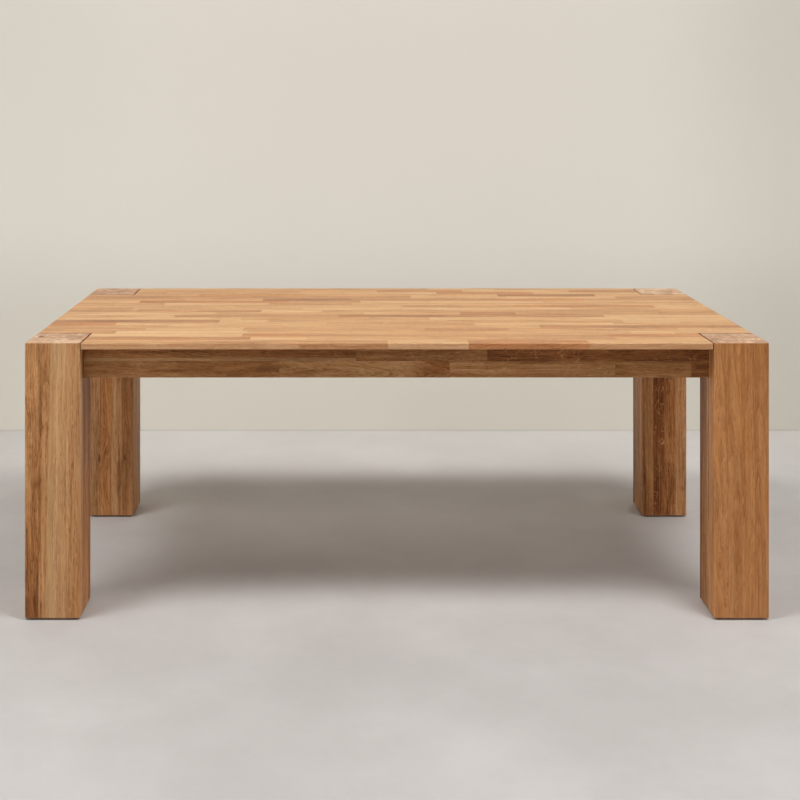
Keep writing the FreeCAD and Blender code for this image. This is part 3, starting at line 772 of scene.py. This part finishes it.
@dataclass(frozen=True)
class Character:
    """What sets one stave apart from plain straight wood."""

    figure: float = 0.2
    slope: float = 0.0
    fade: float = 0.0
    lift: float = 0.0
    contrast: float = 1.0
    flake: float = 0.0
    end_lift: float = 0.0
    # Painted light on the top's rim, added for this one stave.
    painted_rim_light: float = 0.0
    blush: float = 0.0
    sap: tuple[int, int, int] = (0, 0, 0)
    sap_strength: float = 1.0
    sap_slope: float = 0.0
    ripe: Triple = (0.0, 100.0, 0.0)
    knot: Triple = (0.0, 0.0, 0.0)
    knot_size: float = 0.0


@dataclass(frozen=True)
class Stave:
    """One stave of a glued-up part, as the box it fills and how it looks."""

    low: Vector
    high: Vector
    grade: Grade
    seed: float
    character: Character = Character()

    def holds(self, point: Vector) -> bool:
        """Whether the point lies in the stave."""
        return all(low <= p <= high for low, p, high in zip(self.low, point, self.high))

    def marks(self, lift: float, wear_and_shade: float, flush: float) -> dict[str, Sequence[float]]:
        """The vectors that the finish reads from each face of the stave.

        Args:
            lift: How much paler the face is than the rest: painted light on the top's rim, painted shade on
                the legs' faces toward the table's ends.
            wear_and_shade: 1 on a rubbed arris, below 0 on the lips of the joint between top and legs,
                where painted shade darkens the gap, 0 elsewhere.
            flush: How much rosier the face is than the rest.

        Returns:
            Each vector by its name.
        """
        shade, red = self.grade.value
        own = self.character
        middle = (self.low + self.high) / 2
        return {
            "stave_middle": middle,
            "stave_half": (self.high - self.low) / 2,
            "stave_look": (self.seed, shade + own.lift + lift, red),
            "stave_marks": (own.figure, own.slope, own.fade),
            "stave_spots": (own.knot_size, own.flake, wear_and_shade),
            "stave_depth": (own.contrast, own.end_lift, own.blush),
            "stave_sap": own.sap,
            "stave_sapwood": (own.sap_strength, own.sap_slope, flush),
            "stave_ripe": own.ripe,
            "stave_knot": (Vector(own.knot) - middle) / MM,
        }


def in_joint(point: Vector) -> bool:
    """Whether the point lies on the lips of the joint between the top and a leg."""
    past = [abs(p) - at for p, at in zip(point, JOINT)]
    return point.z > JOINT_FOOT and min(past) > -JOINT_LIP and min(abs(p) for p in past) < JOINT_LIP


def mark_staves(obj: Object, staves: list[Stave], painted_rim_light: float = 0.0, painted_side_light: float = 0.0) -> None:
    """Writes each face's stave into the mesh, for the finish to read.

    Args:
        obj: The piece, already cut along its glue lines.
        staves: All the staves of the piece.
        painted_rim_light: How much paler its upright faces are than the rest, as painted light.
        painted_side_light: How much paler its faces toward the table's ends are, as painted light; below 0,
            as painted shade.
    """
    mesh = obj.data
    names = list(staves[0].marks(0, 0, 0))
    for name in names:
        mesh.attributes.new(name, "FLOAT_VECTOR", "FACE")
    columns = {name: mesh.attributes[name].data for name in names}
    for face in mesh.polygons:
        inside = face.center - face.normal * 0.3 * MM
        stave = next((s for s in staves if s.holds(inside)), staves[0])
        wear_and_shade = float(max(abs(n) for n in face.normal) < FLAT)
        # The lips of the joint between top and legs are marked below 0 for painted shade, darkest on faces
        # that face front or back.
        if in_joint(face.center):
            wear_and_shade = -1.0 if abs(face.normal.y) > 0.3 else -0.3
        upright = 1 - abs(face.normal.z)
        # The top's upright faces get painted light; faces toward the table's ends get painted shade when
        # the side value is below 0.
        lift = (painted_rim_light + stave.character.painted_rim_light) * upright + painted_side_light * abs(face.normal.x)
        for name, vector in stave.marks(lift, wear_and_shade, upright * (painted_rim_light > 0)).items():
            columns[name][face.index].vector = vector


def overshoot(corner: Vector, opposite: Vector, low: Vector, high: Vector) -> None:
    """Moves the sides of a stave that lie on the outside of its part past the wood.

    Args:
        corner: The stave's lowest corner.
        opposite: Its highest corner.
        low: The part's lowest corner.
        high: Its highest corner.
    """
    for axis in (0, 1):
        if corner[axis] < low[axis] + MM:
            corner[axis] -= OVERHANG
        if opposite[axis] > high[axis] - MM:
            opposite[axis] += OVERHANG


@dataclass(frozen=True)
class Feature:
    """A stave of the top that stands out: its row from the front, its ends in mm and its look."""

    row: int
    start: float
    end: float
    grade: Grade
    character: Character = Character()


@dataclass
class TopPanel:
    """The thin top, edge-glued from rows of short staves that run along the table."""

    light: Colour = (0.562, 0.316, 0.129)
    pale: Colour = (0.700, 0.470, 0.238)
    rows: int = 22
    shortest: float = 150.0
    longest: float = 560.0
    end: float = 1000.0
    draw: int = 11
    grades: tuple[Grade, ...] = (Grade.PALE, Grade.LIGHT, Grade.HONEY, Grade.BROWN, Grade.RED)
    shares: tuple[int, ...] = (18, 40, 28, 9, 5)
    # Painted light: the rim's upright faces are drawn paler, and rosier, than the top.
    painted_rim_light: float = 0.20
    features: tuple[Feature, ...] = (
        Feature(
            0,
            -1000,
            -262,
            Grade.LIGHT,
            Character(0.5, fade=-0.12, lift=-0.04, painted_rim_light=0.20, blush=0.15),
        ),
        Feature(0, -262, -25, Grade.HONEY, Character(0.4)),
        Feature(0, -25, 193, Grade.PALE, Character(0.4)),
        Feature(0, 193, 515, Grade.RED, Character(0.4, lift=-0.04, painted_rim_light=-0.05, blush=-0.2)),
        Feature(0, 515, 1000, Grade.LIGHT, Character(0.3, lift=0.01, painted_rim_light=-0.08)),
        Feature(1, -1000, -399, Grade.BROWN, Character(0.9)),
        Feature(1, -399, -245, Grade.PALE),
        Feature(1, 600, 1000, Grade.LIGHT),
        Feature(2, -1000, -425, Grade.PALE),
        Feature(2, 590, 1000, Grade.RED),
        Feature(3, -785, -415, Grade.PALE),
        Feature(3, 660, 785, Grade.PALE),
        Feature(4, -710, -430, Grade.PALE),
        Feature(4, -430, 87, Grade.HONEY),
        Feature(5, 420, 705, Grade.BROWN),
        Feature(7, -1000, -512, Grade.DARK, Character(0.6)),
        Feature(7, -512, -370, Grade.PALE),
        Feature(9, -655, -490, Grade.BROWN),
        Feature(9, -160, 165, Grade.DARK),
        Feature(9, 640, 1000, Grade.PALE),
        Feature(10, -1000, -535, Grade.PALE),
        Feature(10, -85, 30, Grade.PALE),
        Feature(11, -785, -400, Grade.BROWN),
        Feature(12, -275, 32, Grade.PALE),
        Feature(16, -410, -125, Grade.DARK),
        Feature(17, 390, 750, Grade.PALE),
        Feature(18, 365, 690, Grade.DARK),
        Feature(19, 165, 490, Grade.RED),
    )

    def build(self) -> Object:
        """Cuts the panel along its glue lines and dresses it.

        Returns:
            The piece.
        """
        low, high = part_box("tabletop")
        pitch = (high.y - low.y) / self.rows
        staves = self._staves(low, high, pitch)
        obj = copy_of("tabletop", "top_panel")
        with editing(obj):
            cut_evenly(1, low.y, pitch, self.rows)
            for stave in staves:
                if stave.low.x > low.x:
                    pick(obj, lambda middle: stave.low.y < middle.y < stave.high.y)
                    cut(0, stave.low.x)
        mark_staves(obj, staves, self.painted_rim_light)
        finish = OakFinish("oiled oak top", Grain.LENGTHWISE, light=self.light, pale=self.pale)
        return settle(obj, "oak_top", finish.material(), "tabletop")

    def _staves(self, low: Vector, high: Vector, pitch: float) -> list[Stave]:
        """Lays the staves of all rows, the outermost ones past the rim so that no glue shows there.

        Args:
            low: The panel's lowest corner.
            high: Its highest corner.
            pitch: The width of a row.

        Returns:
            The staves.
        """
        chance = random.Random(self.draw)
        staves = []
        for row in range(self.rows):
            for item in self._row(row, chance):
                corner = Vector((item.start * MM, low.y + row * pitch, low.z - BEYOND))
                opposite = Vector((item.end * MM, low.y + (row + 1) * pitch, high.z + BEYOND))
                overshoot(corner, opposite, low, high)
                staves.append(Stave(corner, opposite, item.grade, chance.random(), item.character))
        return staves

    def _row(self, row: int, chance: random.Random) -> list[Feature]:
        """Lays one row of staves.

        Args:
            row: The row's number from the front.
            chance: The draw that fills what no feature takes.

        Returns:
            The row's staves in order.
        """
        placed, at = [], -self.end
        known = sorted((f for f in self.features if f.row == row), key=lambda f: f.start)
        for item in [*known, Feature(row, self.end, self.end, Grade.LIGHT)]:
            while item.start - at > 1:
                room = item.start - at
                length = chance.uniform(self.shortest, self.longest)
                if room - length < self.shortest:
                    length = room
                grade = chance.choices(self.grades, self.shares)[0]
                character = Character(chance.choice((0.1, 0.2, 0.5)))
                placed.append(Feature(row, at, at + length, grade, character))
                at += length
            if item.end > item.start:
                placed.append(item)
                at = item.end
        return placed


@dataclass
class Leg:
    """A thick square leg, glued up from upright staves that run its full height."""

    place: str
    finish: Material
    grades: tuple[str, ...]
    figure: float = 0.35
    end_lift: float = 0.0
    # Painted shade on the faces toward the table's ends, when below 0.
    painted_side_light: float = 0.0
    special: dict[tuple[int, int], Character] = field(default_factory=dict)
    across: int = 4
    deep: int = 4

    def build(self) -> Object:
        """Cuts the leg along its glue lines and dresses it.

        Returns:
            The piece.
        """
        node = f"leg_{self.place}"
        low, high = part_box(node)
        chance = random.Random(f"oak {self.place}")
        width, depth = (high.x - low.x) / self.across, (high.y - low.y) / self.deep
        obj = copy_of(node, f"leg_staves_{self.place}")
        with editing(obj):
            cut_evenly(0, low.x, width, self.across)
            cut_evenly(1, low.y, depth, self.deep)
        letters = {grade.name[0]: grade for grade in Grade}
        staves = []
        for row, grades in enumerate(self.grades):
            for column, letter in enumerate(grades):
                corner = Vector((low.x + column * width, low.y + row * depth, low.z - BEYOND))
                opposite = Vector((corner.x + width, corner.y + depth, high.z + BEYOND))
                overshoot(corner, opposite, low, high)
                plain = Character(self.figure * chance.choice((0.4, 1.0, 1.6)))
                own = self.special.get((row, column), plain)
                character = replace(own, end_lift=self.end_lift + own.end_lift)
                staves.append(Stave(corner, opposite, letters[letter], chance.random(), character))
        mark_staves(obj, staves, painted_side_light=self.painted_side_light)
        return settle(obj, "oak_leg", self.finish, node)


@dataclass
class Apron:
    """A rail under the top between two legs, glued up from two rows of staves."""

    side: str
    finish: Material
    grain: Grain
    lower: tuple[tuple[float, Grade, Character], ...]
    upper: tuple[tuple[float, Grade, Character], ...]
    glue_height: float = 0.6865

    def build(self) -> Object:
        """Cuts the apron along its glue lines and dresses it.

        Returns:
            The piece.
        """
        node = f"apron_{self.side}"
        low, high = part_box(node)
        run, face, _ = self.grain.value
        obj = copy_of(node, f"apron_staves_{self.side}")
        chance = random.Random(f"rail {self.side}")
        staves = []
        with editing(obj):
            bpy.ops.mesh.select_all(action="SELECT")
            cut(2, self.glue_height)
            bottom, top = low.z - MARGIN, high.z + MARGIN
            for row, foot, head in (
                (self.lower, bottom, self.glue_height),
                (self.upper, self.glue_height, top),
            ):
                start = low[run] - OVERHANG
                for end, grade, character in row:
                    last = high[run] + OVERHANG
                    if end * MM < high[run]:
                        last = end * MM
                        pick(obj, lambda middle: foot < middle.z < head)
                        cut(run, last)
                    corner, opposite = Vector((0, 0, foot)), Vector((0, 0, head))
                    corner[run], opposite[run] = start, last
                    corner[face], opposite[face] = low[face] - MARGIN, high[face] + MARGIN
                    staves.append(Stave(corner, opposite, grade, chance.random(), character))
                    start = last
        mark_staves(obj, staves)
        return settle(obj, "oak_apron", self.finish, node)


@dataclass
class Underframe:
    """The beech blocks and rails and the fixings under the top, and the pads under the legs."""

    corners: tuple[str, ...] = ("front_left", "front_right", "rear_left", "rear_right")
    wood_ease: float = 0.9
    metal_ease: float = 0.35
    bolt_pitch: float = 1.25 * MM

    def build(self) -> None:
        """Dresses every solid of the underframe."""
        lengthwise = BeechFinish("planed beech lengthwise", Grain.LENGTHWISE).material()
        crosswise = BeechFinish("planed beech crosswise", Grain.CROSSWISE).material()
        aslant = BeechFinish("planed beech aslant", Grain.LENGTHWISE, aslant=True).material()
        zinc = ZincFinish().material()
        threaded = ZincFinish("zinc plated thread", self.bolt_pitch).material()
        felt = FeltFinish().material()
        for corner in self.corners:
            self._eased(f"corner_brace_{corner}", "beech", aslant)
            dress(f"foot_pad_{corner}", felt)
        for side in ("left", "right"):
            self._eased(f"cross_rail_{side}", "beech", crosswise)
            for end in ("front", "rear"):
                self._eased(f"top_button_{side}_{end}", "beech", lengthwise)
        for end in ("front", "rear"):
            for place in ("left", "middle", "right"):
                self._eased(f"top_button_{end}_{place}", "beech", crosswise)
        dress("apron_dowels", lengthwise)
        dress("rail_dowels", crosswise)
        self._eased("hanger_bolts", "zinc_steel", threaded, self.metal_ease)
        for node in ("brace_washers", "brace_nuts"):
            self._eased(node, "zinc_steel", zinc, self.metal_ease)
        for node in ("brace_screws", "button_screws", "rail_screws"):
            self._eased(node, "zinc_steel", zinc, 0.0)

    def _eased(self, node: str, slot: str, material: Material, ease: float | None = None) -> None:
        """Makes a crisper piece from a construction node, with its edges eased unless the width is 0.

        Args:
            node: The construction node.
            slot: The record's material slot.
            material: The finish.
            ease: The width of the chamfers in mm, or none for that of the wood.
        """
        obj = copy_of(node, f"{node}_eased")
        width = self.wood_ease if ease is None else ease
        if width:
            ease_edges(obj, width * MM)
        settle(obj, slot, material, node)


@dataclass
class Studio:
    """The plain room that the table stands in, its soft lamps and the camera."""

    wall_at: float = 1.485
    sheet_size: float = 24.0
    eye: Triple = (-0.124, -3.972, 1.402)
    sensor: float = 36.0
    lens: float = 58.17
    shift: tuple[float, float] = (0.0615, -0.377)

    def build(self) -> None:
        """Sets up the room, the lamps and the camera."""
        # Both sheets carry painted light and painted shade across them, and painted shade at their seam.
        floor = StageFinish(
            "pale floor",
            base=(0.475, 0.452, 0.438),
            fleck=(0.575, 0.552, 0.538),
            roughness=0.62,
            mottle=0.8,
            glow=(0.6, 1.5, 0.22),
            losses=(0.18, 0.06, 0.0),
            seam=(self.wall_at, 0.022),
        )
        wall = StageFinish(
            "pale wall",
            base=(0.712, 0.680, 0.597),
            fleck=(0.732, 0.700, 0.617),
            roughness=0.85,
            mottle=0.4,
            glow=(0.43, 0.86, 0.36),
            losses=(0.04, 0.13, 0.15),
            seam=(0.0, 0.006),
        )
        self._sheet("floor", (0, 0, 0), (0, 0, 0), floor.material())
        self._sheet("wall", (0, self.wall_at, 0), (math.radians(90), 0, 0), wall.material())
        table, low = (0, 0, 0.745), (0, 0, 0.4)
        for lamp in (
            ("ceiling softbox left", (-2.75, -2.05, 5.95), table, (1.7, 1.9), 184),
            ("ceiling softbox right", (1.9, -2.05, 5.95), table, (1.7, 1.9), 206),
            ("left softbox", (-6.0, -1.8, 2.0), low, (5.0, 3.0), 104),
            ("right softbox", (6.0, -0.6, 1.9), low, (4.0, 3.0), 74),
            ("front softbox", (0, -5.2, 4.6), low, (6.0, 1.6), 52),
        ):
            self._lamp(*lamp)
        self._air()
        self._camera()
        bpy.context.scene.view_settings.view_transform = "Standard"

    def _air(self) -> None:
        """Fills the room with a little even light and shows a pale haze beyond it."""
        bench = Bench(bpy.data.worlds.new("studio air"))
        dim = bench.add("ShaderNodeBackground", inputs={"Color": (1.0, 0.98, 0.95, 1), "Strength": 0.02})
        haze = bench.add("ShaderNodeBackground", inputs={"Color": HAZE, "Strength": 1.0})
        seen = bench.add("ShaderNodeLightPath").outputs["Is Camera Ray"]
        world = bench.close(bench.blend(seen, dim, haze), "ShaderNodeOutputWorld")
        bpy.context.scene.world = world

    def _sheet(self, name: str, place: Triple, turn: Triple, material: Material) -> None:
        """Adds a flat sheet of the room.

        Args:
            name: The sheet's name.
            place: A point of it.
            turn: How it is turned.
            material: Its finish.
        """
        select_only(None)
        bpy.ops.mesh.primitive_plane_add(size=self.sheet_size, location=place, rotation=turn)
        sheet = bpy.context.active_object
        sheet.name = name
        sheet.data.materials.append(material)
        select_only(None)

    def _lamp(self, name: str, place: Triple, aim: Triple, size: tuple[float, float], power: float) -> None:
        """Adds a soft rectangular lamp.

        Args:
            name: The lamp's name.
            place: Where it hangs.
            aim: The point that it faces.
            size: Its width and height.
            power: Its power in watts.
        """
        data = bpy.data.lights.new(name, "AREA")
        data.shape = "RECTANGLE"
        data.size, data.size_y = size
        data.energy = power
        lamp = bpy.data.objects.new(name, data)
        bpy.context.scene.collection.objects.link(lamp)
        lamp.location = place
        lamp.rotation_euler = (Vector(aim) - Vector(place)).to_track_quat("-Z", "Y").to_euler()

    def _camera(self) -> None:
        """Adds the level camera, whose view is shifted down."""
        data = bpy.data.cameras.new("camera")
        data.sensor_width = self.sensor
        data.lens = self.lens
        data.shift_x, data.shift_y = self.shift
        camera = bpy.data.objects.new("camera", data)
        bpy.context.scene.collection.objects.link(camera)
        camera.location = self.eye
        camera.rotation_euler = (math.radians(90), 0, 0)
        bpy.context.scene.camera = camera


def build_legs() -> None:
    """Builds the four legs, each with its own choice of staves, front row first."""
    finish = OakFinish(
        "oiled oak legs",
        Grain.UPRIGHT,
        brown=(0.370, 0.170, 0.061),
        light=(0.595, 0.332, 0.152),
        shift=0.025,
        contrast=1.2,
        glue_width=0.5,
        roughness=0.56,
        gloss=0.25,
        length=1.7,
        sap_width=12.0,
        knot_squash=0.4,
    ).material()
    # Painted shade: the staves seen on the leg's inner side are a little darker, and darker toward the top
    # under the apron and top.
    shaded_inner = Character(0.2, fade=-0.35, lift=-0.02, blush=0.3)
    Leg(
        "front_left",
        finish,
        ("BBLH", "HBLD", "BHHB", "HLBD"),
        special={
            (0, 0): Character(
                1.0, slope=0.02, fade=0.18, lift=0.06, contrast=1.1, blush=0.1, ripe=(40, -200, 0.15)
            ),
            (0, 1): Character(0.35, fade=-0.08, lift=0.01, contrast=1.1, sap=(1, 0, 0), sap_slope=0.022),
            (0, 2): Character(0.15, lift=0.05, contrast=0.9, end_lift=0.22),
            (0, 3): Character(0.2, fade=0.08, lift=0.02, end_lift=0.14, ripe=(-120, -230, 0.05)),
            (1, 3): replace(shaded_inner, end_lift=-0.12),
            (2, 0): Character(0.3, knot=(-0.978, -0.399, 0.745), knot_size=11.0),
            (2, 3): replace(shaded_inner, end_lift=-0.24),
            (3, 2): Character(0.2, end_lift=-0.16),
            (3, 3): replace(shaded_inner, end_lift=-0.22),
        },
    ).build()
    Leg(
        "front_right",
        finish,
        ("AAAA", "OHLB", "BBHH", "DHBH"),
        figure=0.9,
        end_lift=-0.07,
        painted_side_light=-0.08,
        special={
            (0, 0): Character(1.3, slope=0.03, contrast=0.55),
            (0, 1): Character(1.3, slope=0.03, fade=-0.08, lift=0.015, contrast=0.5),
            (0, 2): Character(0.7, slope=-0.02, fade=-0.2, lift=-0.06, contrast=0.55),
            (0, 3): Character(0.5, fade=-0.2, lift=-0.06, contrast=0.55),
            (1, 0): Character(0.2, lift=-0.04, sap=(0, -1, 0), sap_strength=0.8),
            (2, 0): Character(0.3, lift=-0.06),
            (3, 0): Character(0.3, lift=-0.04),
        },
    ).build()
    Leg(
        "rear_left",
        finish,
        ("OAHB", "HBLB", "BHHO", "HLBB"),
        end_lift=-0.12,
        special={
            (0, 0): Character(0.4, lift=-0.01, knot=(-0.966, 0.356, 0.196), knot_size=5.0),
            (0, 1): Character(0.6, fade=-0.25, lift=-0.12),
            (0, 2): Character(0.3, fade=-0.3, lift=-0.06),
            (0, 3): Character(0.5, lift=-0.02, contrast=0.8, knot=(-0.882, 0.356, 0.200), knot_size=4.0),
        },
    ).build()
    Leg(
        "rear_right",
        finish,
        ("HDBH", "OHLB", "BBHH", "DHBH"),
        end_lift=0.20,
        painted_side_light=-0.03,
        special={
            (0, 0): Character(0.3, fade=0.5, lift=0.08, contrast=1.2, blush=0.3),
            (0, 1): Character(0.5, lift=-0.07, contrast=1.2, blush=0.5, flake=1.0),
            (0, 2): Character(0.5, fade=0.12, lift=0.03, contrast=1.2, blush=0.4, flake=0.3),
            (0, 3): Character(0.4, lift=0.06, contrast=1.1, blush=0.2),
        },
    ).build()


def build_aprons() -> None:
    """Builds the four aprons."""
    looks = OakFinish(
        "oiled oak long aprons",
        Grain.LENGTHWISE,
        dark=(0.140, 0.048, 0.009),
        brown=(0.370, 0.160, 0.044),
        light=(0.585, 0.318, 0.130),
        sap_width=8.5,
        shift=-0.09,
        contrast=1.15,
        roughness=0.56,
        gloss=0.35,
    )
    along = looks.material()
    over = replace(looks, name="oiled oak end aprons", grain=Grain.CROSSWISE).material()
    sapped = (0, 0, -1)
    lower = (
        (-319, Grade.HONEY, Character(1.3, fade=-0.3, lift=-0.04, contrast=0.8)),
        (145, Grade.LIGHT, Character(0.6, slope=0.10, fade=0.30, lift=0.05, ripe=(90, 190, 0.33))),
        (597, Grade.LIGHT, Character(0.3, lift=-0.03)),
        (804, Grade.HONEY, Character(0.4, fade=0.4, lift=-0.04)),
        (900, Grade.BROWN, Character(0.2)),
    )
    upper = (
        (-504, Grade.BROWN, Character(0.4, fade=-0.2, lift=0.15, sap=sapped)),
        (-109, Grade.BROWN, Character(0.2, fade=-0.45, lift=0.02, sap=sapped, sap_strength=0.7)),
        (248, Grade.HONEY, Character(0.4, slope=-0.06, lift=-0.03)),
        (
            900,
            Grade.BROWN,
            Character(0.5, lift=-0.05, blush=0.3, flake=0.8, knot=(0.846, -0.45, 0.693), knot_size=4.0),
        ),
    )
    plain_lower = tuple((end, grade, Character(0.4)) for end, grade, _ in lower)
    plain_upper = tuple((end, grade, Character(0.3)) for end, grade, _ in upper)
    Apron("front", along, Grain.LENGTHWISE, lower, upper).build()
    Apron("rear", along, Grain.LENGTHWISE, plain_upper, plain_lower).build()
    short = ((-120, Grade.HONEY, Character(0.3)), (400, Grade.BROWN, Character(0.5)))
    other = ((90, Grade.BROWN, Character(0.2)), (400, Grade.HONEY, Character(0.2)))
    Apron("left", over, Grain.CROSSWISE, short, other).build()
    Apron("right", over, Grain.CROSSWISE, other, short).build()


def main() -> None:
    """Builds the table piece by piece and then the room round it."""
    logging.basicConfig(level=logging.INFO, format="%(message)s")
    TopPanel().build()
    build_legs()
    build_aprons()
    Underframe().build()
    Studio().build()


if __name__ == "__main__":
    main()
